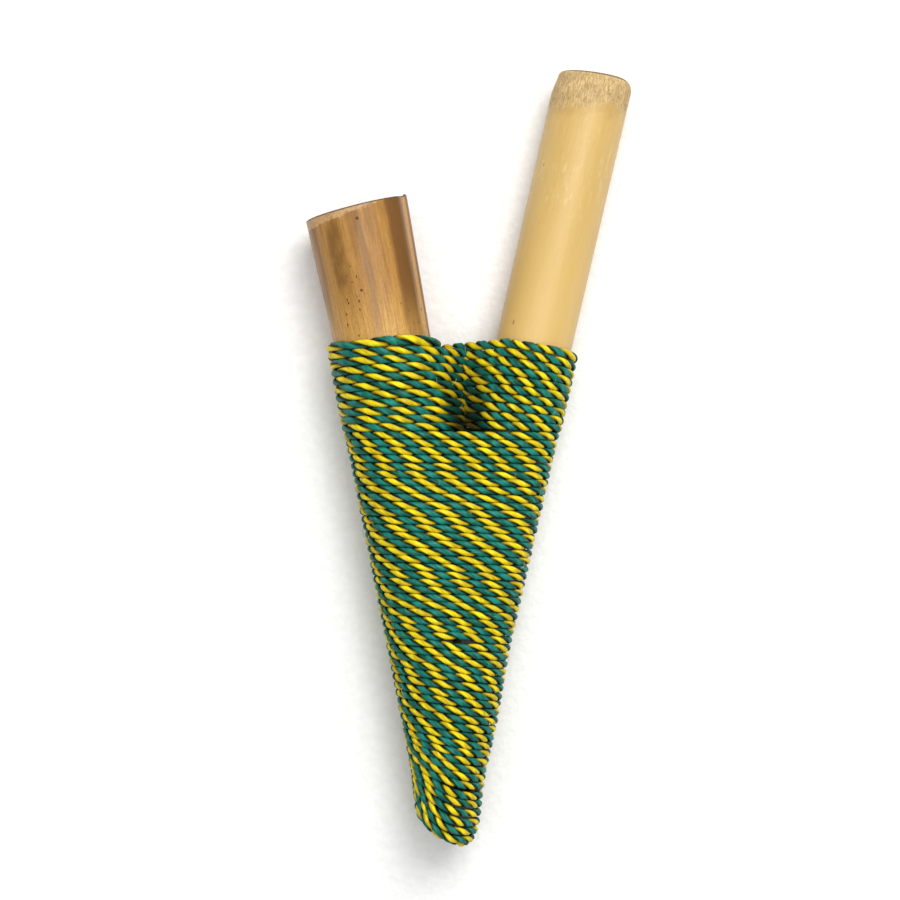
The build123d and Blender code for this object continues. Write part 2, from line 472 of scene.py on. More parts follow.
def eight_path():
    """The turns above the straight ones: first once round the left arm, then in a figure of
    eight, over the front of each arm and through the gap to the back of the other."""
    pieces = []
    passes = []

    def sweep(direction, angles, heights, count, name=None, number=0, deeper=0.0):
        """Takes the cord round an arm, from one angle and height to another."""
        start = sum(len(piece) for piece in pieces)
        if name:
            passes.append((start, start + count - 1, name, number))
        angles = np.linspace(*angles, count)
        heights = np.linspace(*heights, count)
        if name == "left" and number == 0:
            rise, place, width = TOP_BUMP
            heights += rise * np.exp(-(((np.linspace(0, 1, count) - place) / width) ** 2))
        pieces.append(wrap_points(direction, angles, heights, deeper))

    sweep(left_dir, START_ANGLES, START_HEIGHTS, START_POINTS, deeper=START_DEEPER)
    for turn in range(EIGHT_TURNS):
        out = curve_at(LEFT_OUT, turn)
        gap = curve_at(LEFT_GAP, turn)
        following = curve_at(LEFT_OUT, turn + 1)
        leaving = tangent_angle(gap)
        if turn == 0:
            sweep(left_dir, (math.pi, TOP_END), (out, gap), LEFT_POINTS, "left", turn)
            sweep(left_dir, (TOP_BACK, ARM_BACK), (gap, following), RIGHT_POINTS)
            continue
        sweep(left_dir, (math.pi, leaving), (out, gap), LEFT_POINTS, "left", turn)
        row = turn - 1
        out = curve_at(RIGHT_OUT, row)
        angles = (math.pi + leaving, 2 * math.pi)
        sweep(right_dir, angles, ((gap + out) / 2, out), BACK_POINTS)
        gap = curve_at(RIGHT_GAP, row)
        leaving = tangent_angle(gap)
        angles = (RIGHT_EDGE_ANGLE, math.pi - leaving)
        sweep(right_dir, angles, (out, gap), RIGHT_POINTS, "right", row)
        sweep(left_dir, (-leaving, ARM_BACK), (gap - GAP_DROP, following), BACK_POINTS)
    return np.vstack(pieces), passes


PATH_STEP = 0.25
PATH_SMOOTHING = 6


def cord_path():
    """The middle line of the whole cord, which way it goes round the wood (1, or -1 on the right
    arm's side of the figure of eight), its passes over the front and the core of its end."""
    upper, upper_marks = eight_path()
    lower, lower_marks, core = binding_path()
    shift = len(upper)
    marks = upper_marks + [(a + shift, b + shift, name, n) for a, b, name, n in lower_marks]
    path = np.vstack([upper, lower])
    length = along_line(path)
    marks = [(length[a], length[b], name, number) for a, b, name, number in marks]
    path = resample(path, int(length[-1] / PATH_STEP) + 1)
    path = smooth_line(path, PATH_SMOOTHING)
    return path[:, :3], path[:, 3], marks, core


NO_BEND = 1e-18


def carried_normals(path):
    """A normal for each point, carried along the path without turning about it."""
    tangent = unit(np.gradient(path, axis=0))
    normal = np.empty_like(path)
    first = np.cross(tangent[0], (0, 1, 0))
    normal[0] = first / np.linalg.norm(first)
    for i in range(len(path) - 1):
        step = path[i + 1] - path[i]
        c = step @ step
        n = normal[i] - 2 / c * (step @ normal[i]) * step
        t = tangent[i] - 2 / c * (step @ tangent[i]) * step
        turn = tangent[i + 1] - t
        c = turn @ turn
        if c > NO_BEND:
            n = n - 2 / c * (turn @ n) * turn
        n -= tangent[i + 1] * (n @ tangent[i + 1])
        normal[i + 1] = n / np.linalg.norm(n)
    return tangent, normal, np.cross(tangent, normal)


# ---- the twist
# A mark is one pass of the cord over the front: where it starts and ends, its kind ("left" or
# "right" arm of the figure of eight, or "body") and which turn it is, from the top.
LAY = {"left": 4.2, "right": 3.0, "hidden": 3.7}
DIVE = 2.5  # the figure of eight stays in sight this far down into the gap
FIRST_LAY = 5.6  # the loose first turn
BODY_LAY = [(0, 3.5), (6, 3.9), (12, 4.25), (20, 3.85), (30, 3.6), (41, 3.4), (51, 3.1)]
ROW_SHIFT = 0.3  # how far each turn's pattern moves along from the one above
UNEVEN_TWIST = 0.4  # in radians
STRETCH = 0.55  # how much the twist opens where the cord bends down at the sides,
LASHING_STRETCH = 1.0  # and in the figure of eight
LEAST_RATE = 0.3
SWAY = 0.15  # the shift swings slowly from turn to turn
PATTERN_JITTER = 0.09
PASS_PLACES = 13  # places along each front pass where the twist is set


def twist(path, tangent, marks, normal, binormal):
    """The angle of the yellow strand about the cord, all along it. Its phase is set at the middle
    of each front pass; behind, the twist takes up whatever is left in whole turns."""
    length = along_line(path)
    step = length[1] - length[0]
    level = np.abs(tangent[:, 0])
    stretch = np.where(length < starts_of_body(marks), LASHING_STRETCH, STRETCH)
    rate = np.maximum(1 - stretch * (1 - level), LEAST_RATE)
    turned = np.concatenate([[0], np.cumsum(rate[:-1] * np.diff(length))])
    places = []
    angles = []
    pattern = 0.0
    for start, end, name, number in marks:
        lay = curve_at(BODY_LAY, number) if name == "body" else LAY[name]
        if name != "body":
            end += DIVE
        if start == marks[0][0]:
            lay = FIRST_LAY
        i = int(round((start + end) / 2 / step))
        up = math.atan2(binormal[i, 2], normal[i, 2])
        sway = SWAY * math.sin(0.9 * number + 0.4)
        pattern += ROW_SHIFT + sway + rng.normal(0, PATTERN_JITTER)
        way = -1.0 if name == "right" else 1.0
        here = np.linspace(start, end, PASS_PLACES)
        there = np.interp(here, length, turned) - turned[i]
        swing = (up - way * pattern * 2 * math.pi) + there / lay * 2 * math.pi
        swing += smooth_loop(rng.normal(0, UNEVEN_TWIST, PASS_PLACES), 1)
        if places:
            wanted = angles[-1] + (start - places[-1]) / LAY["hidden"] * 2 * math.pi
            swing += round((wanted - swing[0]) / (2 * math.pi)) * 2 * math.pi
        places += list(here)
        angles += list(swing)
    slope = 2 * math.pi / LAY["hidden"]
    places = [0.0] + places + [length[-1] + 1.0]
    last = angles[-1] + slope * (places[-1] - places[-2])
    angles = [angles[0] - slope * places[1]] + angles + [last]
    return np.interp(length, places, angles)


# ---- the two strands
STRAND_OFFSET = 0.24  # from the cord's middle to a strand's
STRAND_OUT = 0.285  # half-widths of a strand: outwards, inwards and sideways
STRAND_IN = 0.23
STRAND_SIDE = {"yellow": 0.375, "green": 0.44}
STRAND_SIDES = 10
RINGS_PER_LAY = 13
SLACK = 1.36  # the first turn is loose, and so thicker
LASHING_SLACK = 1.1  # so are the others round one arm,
GAP_SLACK = 1.19  # and the stretches that pass through between the arms
UNEVEN_THICKNESS = 0.035
UNEVEN_STEP = 1.5
SHADE_TO_LIGHT = (-0.06, 0.22)  # depths in the cord over which a strand goes from painted shade to fully lit
GROOVE_TO_CROWN = (-0.4, 0.75)  # the same across a strand
GROOVE_LIGHT = 0.3  # how much light is still painted into the groove between the strands


def strand_rings(cord, angle, side):
    """Rings of points round one strand, and how much light is painted on each point: less deep in the
    winding, in the groove between the strands and down in the gap between the arms.
    """
    turned = angle[:, None]
    radial = np.cos(turned) * cord["normal"] + np.sin(turned) * cord["binormal"]
    sideways = -np.sin(turned) * cord["normal"] + np.cos(turned) * cord["binormal"]
    around = np.arange(STRAND_SIDES) * 2 * math.pi / STRAND_SIDES
    out = np.cos(around)
    reach = STRAND_OFFSET + np.where(out > 0, STRAND_OUT, STRAND_IN) * out
    width = side * np.sin(around)
    rings = reach[None, :, None] * radial[:, None, :] + width[None, :, None] * sideways[:, None, :]
    rings = rings * cord["thickness"][:, None, None]
    depth = (rings * cord["outward"][:, None, :]).sum(axis=2)
    # Where the cord crosses between the arms, its depth is measured either way from its middle, for
    # the painted shade.
    depth = np.where(cord["crossing"][:, None] > 0.5, np.abs(depth), depth)
    # Painted shade: strands darker deeper in the winding and in the groove that faces the other
    # strand.
    outside = ease(*SHADE_TO_LIGHT, depth)
    crown = GROOVE_LIGHT + (1 - GROOVE_LIGHT) * ease(*GROOVE_TO_CROWN, out)[None, :]
    rings = cord["path"][:, None, :] + rings
    # Less light is painted on the strands down in the gap between the arms, as painted shade.
    return rings, outside * crown * (1 - valley_shade(rings))


FIBRE_COUNT = 110
FIBRE_R = 0.022
FIBRE_LOWEST = -5.0  # none where the cord lies on the table
FIBRE_SIDES = 3
FIBRE_POINTS = 8
FIBRE_REACH = (0.6, 1.5)
FIBRE_CURL = 0.8


def make_stray_fibres(cord, marks):
    """Short broken filaments that stand off the cord here and there, in one mesh."""
    points = []
    faces = []
    low, high = marks[0][0], marks[-1][1]
    for place in rng.uniform(low, high, FIBRE_COUNT):
        i = int(np.searchsorted(cord["length"], place))
        if cord["path"][i][2] < FIBRE_LOWEST:
            continue
        out = unit(cord["outward"][i:i + 1])[0]
        along = cord["path"][min(i + 1, len(cord["path"]) - 1)] - cord["path"][i - 1]
        along /= np.linalg.norm(along)
        beside = np.cross(out, along)
        lean = rng.uniform(-1, 1, 2)
        reach = rng.uniform(*FIBRE_REACH)
        curl = rng.uniform(-FIBRE_CURL, FIBRE_CURL)
        t = np.linspace(0, 1, FIBRE_POINTS)[:, None]
        line = (
            cord["path"][i] + out * (0.42 + 0.32 * np.sin(t * 2.6))
            + along * reach * t * lean[0] + beside * (reach * t * lean[1] + curl * t * t)
        )
        start = len(points)
        for point in line:
            for corner in range(FIBRE_SIDES):
                angle = corner * 2 * math.pi / FIBRE_SIDES
                points.append(point + FIBRE_R * (math.cos(angle) * out + math.sin(angle) * beside))
        for face in tube_faces(FIBRE_POINTS, FIBRE_SIDES):
            faces.append(tuple(start + corner for corner in face))
    fibres = new_piece("stray_fibres", points, faces)
    return fibres


VALLEY_SHADE_RISE = 10.0  # mm over which the painted shade in the gap narrows and fades upwards,
VALLEY_SHADE_FADE = 0.7  # by this much


def valley_shade(points):
    """How much painted shade a point gets down in the gap between the arms, where the cord lies in
    the shadow of both arms. Its edges are in mm from the two arms' axes, from the straight turns and
    from the middle's height."""
    x, y, z = points[..., 0], points[..., 1], points[..., 2]
    left = x - left_dir[0] / left_dir[1] * y
    right = right_dir[0] / right_dir[1] * y - x
    rise = np.clip((y - STRAIGHT_TOP) / VALLEY_SHADE_RISE, 0, 1)
    between = ease(4.2, 7.2, left) * ease(2.0 + 3.5 * rise, 4.4 + 3 * rise, right)
    above = ease(STRAIGHT_TOP, STRAIGHT_TOP + 0.9, y)
    return (1 - VALLEY_SHADE_FADE * rise) * between * above * (1 - ease(1.5, 6.4 - 0.6 * rise, z))


def tube_mesh(name, rings, painted_lighting, start):
    """A closed tube through rings of points, with its length and its girth as UVs."""
    count, sides = rings.shape[:2]
    obj = new_piece(name, rings.reshape(-1, 3), tube_faces(count, sides))
    length = along_line(rings.mean(axis=1)) + start
    quads = tube_quads(count, sides)
    girth = (quads[:, :1] % sides + np.array([0, 1, 1, 0])) / sides
    uvs = np.stack([length[quads // sides], girth], axis=-1).reshape(-1, 2)
    add_uvs(obj, np.vstack([uvs, np.zeros((2 * sides, 2))]))
    # How much light is painted on each point; the strand material darkens it as painted shade.
    layer = obj.data.attributes.new("painted_lighting", "FLOAT", "POINT")
    layer.data.foreach_set("value", painted_lighting.reshape(-1))
    return obj


def starts_of_body(marks):
    """How far along the cord the straight turns begin."""
    return next(start for start, end, name, number in marks if name == "body")


def away_from_wood(path, tangent, facing, marks, core):
    """The way out of the binding at each point, square to the cord: away from the wood, and at
    the very end away from the tip's core."""
    outward = unit(np.cross(tangent, (0, 1, 0))) * np.sign(facing)[:, None]
    from_core = path - core
    from_core -= tangent * (from_core * tangent).sum(axis=1)[:, None]
    end = marks[-1][1]
    share = ease(end - 2, end + 6, along_line(path))[:, None]
    return unit(outward * (1 - share) + unit(from_core) * share)


def thickness_along(length, marks):
    """How thick the cord is: slack in the first turn, in the lashing and through the gap."""
    start, end = marks[0][:2]
    first = ease(start + 3, start + 15, length) * (1 - ease(end - 4, end, length))
    shown = np.zeros_like(length)
    for begin, finish, name, number in marks:
        shown += ease(begin - 1, begin, length) * (1 - ease(finish - 3, finish, length))
    shown = np.clip(shown, 0, 1)
    lashing = length < starts_of_body(marks)
    places = np.arange(0, length[-1] + 2 * UNEVEN_STEP, UNEVEN_STEP)
    uneven = np.interp(length, places, wander(length[-1] / UNEVEN_STEP + 3))
    thickness = 1 + (SLACK - 1) * first + (GAP_SLACK - 1) * (lashing * (1 - shown))
    thickness += UNEVEN_THICKNESS * uneven
    return thickness + (LASHING_SLACK - 1) * (lashing * shown) * (1 - first)


NOT_CROSSING = 0.98  # on its way from one arm to the other the cord's facing is smaller


def cord_frames():
    """Everything needed to lay the strands: the path, its frame, its twist and its thickness."""
    path, facing, marks, core = cord_path()
    tangent, normal, binormal = carried_normals(path)
    angle = twist(path, tangent, marks, normal, binormal)
    outward = away_from_wood(path, tangent, facing, marks, core)
    crossing = (np.abs(facing) < NOT_CROSSING).astype(float)
    length = along_line(path)
    thickness = thickness_along(length, marks)
    turns = (angle - angle[0]) / (2 * math.pi)
    count = int(turns[-1] * RINGS_PER_LAY) + 1
    at = np.interp(np.linspace(0, turns[-1], count), turns, np.arange(len(path)))

    def sampled(values):
        values = values.reshape(len(path), -1)
        columns = [np.interp(at, np.arange(len(path)), column) for column in values.T]
        return np.column_stack(columns)

    cord = {
        "path": sampled(path),
        "normal": unit(sampled(normal)),
        "binormal": unit(sampled(binormal)),
        "outward": sampled(outward),
        "crossing": sampled(crossing)[:, 0],
        "thickness": sampled(thickness)[:, 0],
        "angle": sampled(angle)[:, 0],
        "length": sampled(length)[:, 0],
    }
    return cord, marks


TIP_TURN = 41  # from this turn on the cord belongs to the tip


def make_cord():
    """Both strands of the cord, each in three lengths like the CAD's three bindings."""
    cord, marks = cord_frames()
    starts = {(name, number): start for start, end, name, number in marks}
    cuts = [0.0, starts["body", 0], starts["body", TIP_TURN], cord["length"][-1]]
    at = np.searchsorted(cord["length"], cuts)
    at[-1] = len(cord["length"])
    strands = {"yellow": [], "green": [], "fibres": [make_stray_fibres(cord, marks)]}
    for part, node in enumerate(("upper_lashing", "body_binding", "tip_binding")):
        span = slice(at[part], min(at[part + 1] + 1, len(cord["length"])))
        piece = {key: values[span] for key, values in cord.items()}
        for color, half_turn in (("yellow", 0.0), ("green", math.pi)):
            rings, painted_lighting = strand_rings(piece, piece["angle"] + half_turn, STRAND_SIDE[color])
            name = f"{node}_{color}"
            obj = tube_mesh(name, rings, painted_lighting, piece["length"][0])
            strands[color].append(obj)
            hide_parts(node)
    return strands


# ---- the arms
WIDENS_FROM = 36.0  # along an arm
NECK = 47.0  # where an arm comes out of the cord
LEFT_BORE = (mounts["left_mouth_bore"]["dims"]["r_mm"], 3.4)
RIGHT_BORE = (mounts["right_mouth_bore"]["dims"]["r_mm"], 2.8)
ARM_SIDES = 144
REAM_DEPTH = 30.0
TUBE_END = 12.0  # the tubes reach this far below the crossing
LOWER_RINGS = 8
UPPER_RINGS = 70
ROUNDING_STEP = 15  # degrees
LIP = 0.25  # a small chamfer round the hole
HOLE_RINGS = (0.08, LIP, 1.0, 3.0, 8.0, 18.0, REAM_DEPTH)


def lowest(offsets, direction):
    """How far down each line along an arm goes before the mitre or the cut at the tip."""
    mitre = -offsets[:, 0] / direction[0]
    end = (-TUBE_END - offsets[:, 1]) / direction[1]
    return np.maximum(mitre, end)


def arm_mesh(name, direction, radius, bore, mouth, corner):
    """A bamboo tube, round its axis from the back. radius(s, angle) is the outside, bore the two
    radii of the hole, mouth(across) where the cut is and corner(angle) how round its edge is."""
    angles = np.linspace(-math.pi / 2, math.pi * 3 / 2, ARM_SIDES + 1)
    side, up = arm_frame(direction)
    spokes = np.cos(angles)[:, None] * side + np.sin(angles)[:, None] * up
    rings = []
    looks = []

    def ring(s, r, kind, u, v):
        rings.append(s[:, None] * direction + r[:, None] * spokes)
        looks.append((kind, u, v))

    full = np.ones_like(angles)
    edge_r = radius(mouth(0 * angles), angles)
    arc = -(angles - math.pi / 2) * edge_r
    cut = mouth(edge_r * np.cos(angles))
    rounding = corner(angles)
    low = lowest(radius(0 * angles, angles)[:, None] * spokes, direction)
    lower = np.linspace(0, 0.5, LOWER_RINGS)
    for f in np.concatenate([lower, np.linspace(0.5, 1, UPPER_RINGS)[1:]]):
        s = low + (cut - rounding - low) * f
        ring(s, radius(s, angles), "skin", cut - s, arc)
    for turn in np.radians(np.arange(ROUNDING_STEP, 91, ROUNDING_STEP)):
        s = cut - rounding * (1 - math.sin(turn))
        r = edge_r - rounding * (1 - math.cos(turn))
        ring(s, r, "skin", cut - s - rounding * 0.6 * (1 - math.cos(turn)), arc)
    inner = bore[0] + LIP
    for f in np.linspace(0, 1, 6):
        r = (edge_r - rounding) * (1 - f) + inner * f
        ring(mouth(r * np.cos(angles)), r, "cut", r * np.cos(angles), r * np.sin(angles))
    hole_arc = angles * bore[0]
    top = mouth(bore[0] * np.cos(angles))
    for depth in HOLE_RINGS:
        r = full * (bore[0] + max(0.0, LIP - depth) * 0.6)
        ring(top - depth, r, "hole", full * depth, hole_arc)
    deep = lowest(bore[1] * spokes, direction)
    ring(top - REAM_DEPTH, full * bore[1], "hole", full * REAM_DEPTH, hole_arc)
    ring(deep, full * bore[1], "hole", top - deep, hole_arc)
    ring(low, radius(low, angles), "cut", low, arc)

    points = np.concatenate([r[:-1] for r in rings[:-1]])
    faces = []
    uvs = []
    kinds = []
    for i in range(len(rings) - 1):
        this = i * ARM_SIDES
        following = (i + 1) % (len(rings) - 1) * ARM_SIDES
        kind = looks[i + 1][0]
        for j in range(ARM_SIDES):
            k = (j + 1) % ARM_SIDES
            faces.append((this + j, this + k, following + k, following + j))
            for row, column in ((i, j), (i, j + 1), (i + 1, j + 1), (i + 1, j)):
                if looks[row][0] != kind:
                    row = i + 1
                uvs.append((looks[row][1][column], looks[row][2][column]))
            kinds.append(kind)
    obj = new_piece(name, points, faces)
    add_uvs(obj, np.array(uvs))
    obj.data.polygons.foreach_set("material_index", [("skin", "cut", "hole").index(k) for k in kinds])
    return obj


def widened(s, slim, neck, wide, length):
    """The radius along an arm: slim under the cord, wide at its mouth."""
    return np.interp(s, [WIDENS_FROM, NECK, length], [slim, neck, wide])


def out_of_cord(s):
    """1 where an arm is in sight and 0 under the cord."""
    return np.clip((s - NECK + 2) / 4, 0, 1)


LEFT_NECK_R = 6.25
LEFT_MOUTH_R = 6.75
RIGHT_NECK_R = 4.92
RIGHT_MOUTH_R = 5.05
GROOVE = [(-0.16, 24, 7), (0.05, 35, 5), (0.04, 12, 5)]  # height, place and width in degrees
LEFT_SKEW = math.tan(math.radians(3.0))
LEFT_CUT = -0.25  # where the middle of a cut lies, from the end of the CAD's arm
RIGHT_SKEW = 0.075
RIGHT_CUT = 0.6
BURR = 0.24
BURR_EDGE = (6.4, 6.7)
SANDED_OFF = 0.4


def bulge(angle, centre, width):
    away = (angle - math.radians(centre)) / math.radians(width)
    return np.exp(-away * away)


def left_radius(s, angle):
    """Slightly lobed, with a shallow groove along the right edge as bamboo has above a branch."""
    r = widened(s, LEFT_R - 0.02, LEFT_NECK_R, LEFT_MOUTH_R, LEFT_LENGTH)
    groove = sum(height * bulge(angle, place, width) for height, place, width in GROOVE)
    lobes = 0.03 * np.sin(3 * angle + 0.7) + 0.02 * np.sin(5 * angle + 0.04 * s)
    return r + out_of_cord(s) * (groove + lobes)


def left_mouth(across):
    """The cut across the end, with a small burr left standing at its right corner."""
    burr = BURR * ease(*BURR_EDGE, across)
    return LEFT_LENGTH + LEFT_CUT + LEFT_SKEW * across + burr


def right_radius(s, angle):
    """Slightly lobed, and sanded thinner towards the left of its mouth."""
    r = widened(s, RIGHT_R - 0.01, RIGHT_NECK_R, RIGHT_MOUTH_R, RIGHT_LENGTH)
    sanded = ease(RIGHT_LENGTH - 3.2, RIGHT_LENGTH + 0.3, s) * (0.5 - 0.5 * np.cos(angle))
    lobes = 0.03 * np.sin(2 * angle + 0.6) + 0.02 * np.sin(3 * angle + 0.05 * s)
    return r + out_of_cord(s) * lobes - SANDED_OFF * sanded


def right_mouth(across):
    return RIGHT_LENGTH + RIGHT_CUT + RIGHT_SKEW * across


def make_arms():
    left = arm_mesh(
        "left_bamboo", left_dir, left_radius, LEFT_BORE, left_mouth, lambda a: 0.2 + 0 * a
    )
    right = arm_mesh(
        "right_bamboo", right_dir, right_radius, RIGHT_BORE, right_mouth,
        lambda a: 1.0 + 0.5 * np.cos(a),
    )
    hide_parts("left_arm")
    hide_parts("right_arm")
    return left, right


# ---- writing materials
class Painter:
    """A material and short ways to add nodes to it."""

    def __init__(self, name, radius=None):
        self.radius = radius
        self.material = bpy.data.materials.new(name)
        self.material.use_nodes = True
        self.tree = self.material.node_tree
        self.shader = self.tree.nodes["Principled BSDF"]

    def put(self, socket, value):
        if isinstance(value, bpy.types.NodeSocket):
            self.tree.links.new(value, socket)
        elif isinstance(value, tuple) and len(value) == 3 and socket.type == "RGBA":
            socket.default_value = (*value, 1.0)
        else:
            socket.default_value = value

    def node(self, kind, **inputs):
        node = self.tree.nodes.new(kind)
        for name, value in inputs.items():
            self.put(node.inputs[name], value)
        return node

    def surface(self):
        """The two surface coordinates: in millimetres, but a strand's second one goes round once
        from 0 to 1."""
        uv = self.node("ShaderNodeUVMap")
        uv.uv_map = "surface"
        split = self.node("ShaderNodeSeparateXYZ", Vector=uv.outputs[0])
        return split.outputs[0], split.outputs[1]

    def place(self, x, y, z=0.0):
        return self.node("ShaderNodeCombineXYZ", X=x, Y=y, Z=z).outputs[0]

    def skin_noise(self, along, round_it, seed, scale=1.0, detail=3.0, roughness=0.5):
        """Noise on a tube's skin, with no seam where the skin's own coordinates jump."""
        down, across = self.surface()
        angle = self.math("DIVIDE", across, self.radius)
        reach = self.radius * round_it
        place = self.place(
            self.math("MULTIPLY_ADD", down, along, seed),
            self.times(self.math("SINE", angle), reach),
            self.times(self.math("COSINE", angle), reach),
        )
        return self.noise(place, scale, detail, roughness)

    def times(self, a, b):
        return self.math("MULTIPLY", a, b)

    def math(self, operation, a, b=0.0, c=0.0):
        node = self.node("ShaderNodeMath")
        node.operation = operation
        for socket, value in zip(node.inputs, (a, b, c)):
            self.put(socket, value)
        return node.outputs[0]

    def noise(self, place, scale, detail=2.0, roughness=0.5):
        node = self.node(
            "ShaderNodeTexNoise", Vector=place, Scale=scale, Detail=detail, Roughness=roughness
        )
        return node.outputs["Fac"]

    def spots(self, place, scale):
        """Distance to the nearest spot, and a random value for each spot."""
        node = self.node("ShaderNodeTexVoronoi", Vector=place, Scale=scale)
        value = self.node("ShaderNodeSeparateColor", Color=node.outputs["Color"]).outputs[0]
        return node.outputs["Distance"], value

    def step(self, value, low, high, first=0.0, last=1.0):
        """Goes smoothly from first to last while value goes from low to high."""
        node = self.node("ShaderNodeMapRange")
        node.interpolation_type = "SMOOTHSTEP"
        for socket, number in zip(node.inputs, (value, low, high, first, last)):
            self.put(socket, number)
        return node.outputs[0]

    def band(self, value, low, high, soft):
        """1 between low and high, with soft edges."""
        rise = self.step(value, low - soft, low + soft)
        fall = self.step(value, high - soft, high + soft, 1.0, 0.0)
        return self.times(rise, fall)

    def mix(self, share, first, second):
        node = self.node("ShaderNodeMix")
        node.data_type = "RGBA"
        self.put(node.inputs[0], share)
        self.put(node.inputs[6], first)
        self.put(node.inputs[7], second)
        return node.outputs[2]

    def bump(self, height, relief, strength=1.0):
        """Relief in millimetres."""
        node = self.node("ShaderNodeBump", Height=height, Distance=relief * MM, Strength=strength)
        self.put(self.shader.inputs["Normal"], node.outputs[0])

    def layer(self, share, color):
        """Lays another colour over what is there, by this share."""
        self.color = self.mix(share, self.color, color)

    def finish(self, roughness, **uniform):
        self.put(self.shader.inputs["Base Color"], self.color)
        self.put(self.shader.inputs["Roughness"], roughness)
        for name, value in uniform.items():
            self.shader.inputs[name.replace("_", " ")].default_value = value
        return self.material


def strand_material(name, bright, dull, dark, seed):
    """Waxed thread: fine filaments along the strand, with painted shade down in the grooves."""
    p = Painter(name)
    along, around = p.surface()
    painted_lighting = p.node("ShaderNodeAttribute")
    painted_lighting.attribute_name = "painted_lighting"
    painted_lighting = painted_lighting.outputs["Fac"]
    lean = p.math("MULTIPLY_ADD", along, 0.08, around)
    fine = p.noise(p.place(p.times(along, 0.7), p.times(lean, 22.0), seed), 1.0, 4.0, 0.6)
    patches = p.noise(p.place(p.times(along, 0.45), around, seed + 5.0), 1.0, 2.0)
    p.color = p.mix(p.step(patches, 0.36, 0.68, 0.0, 0.95), bright, dull)
    p.layer(p.step(fine, 0.45, 0.7, 0.0, 0.55), dull)
    # Painted shade: duller where little light is painted in.
    p.layer(p.step(painted_lighting, 0.4, 0.95, 1.0, 0.0), dull)
    p.layer(p.step(fine, 0.25, 0.45, 0.3, 0.0), dark)
    # Painted shade: nearly black deep in the grooves and in the gap between the arms.
    p.layer(p.step(painted_lighting, 0.0, 0.5, 0.98, 0.0), dark)
    p.bump(fine, 0.06, 0.6)
    rough = p.step(fine, 0.3, 0.7, 0.4, 0.6)
    return p.finish(rough, Specular_IOR_Level=0.2, Sheen_Weight=0.02, Sheen_Roughness=0.4)


def fibre_material():
    """Loose filaments, bleached where they are broken."""
    p = Painter("loose_fibre")
    place = p.node("ShaderNodeTexCoord").outputs["Object"]
    pick = p.noise(place, 160.0, 1.0)
    p.color = p.mix(p.step(pick, 0.42, 0.58), (0.16, 0.42, 0.36), (0.78, 0.70, 0.36))
    return p.finish(p.step(pick, 0.3, 0.7, 0.45, 0.6), Specular_IOR_Level=0.3)


LEFT_CORD_SHADE = 45.8  # how far up each arm the painted shade under the cord reaches
RIGHT_CORD_SHADE = 44.6


def shade_under_cord(p, down, edge):
    """Painted shade: the wood is darkened nearly to black from this far below the mouth, where the
    cord covers it and it shows only through the gaps between the turns.
    """
    p.layer(p.step(down, edge, edge + 0.6, 0.0, 0.93), (0.022, 0.013, 0.006))


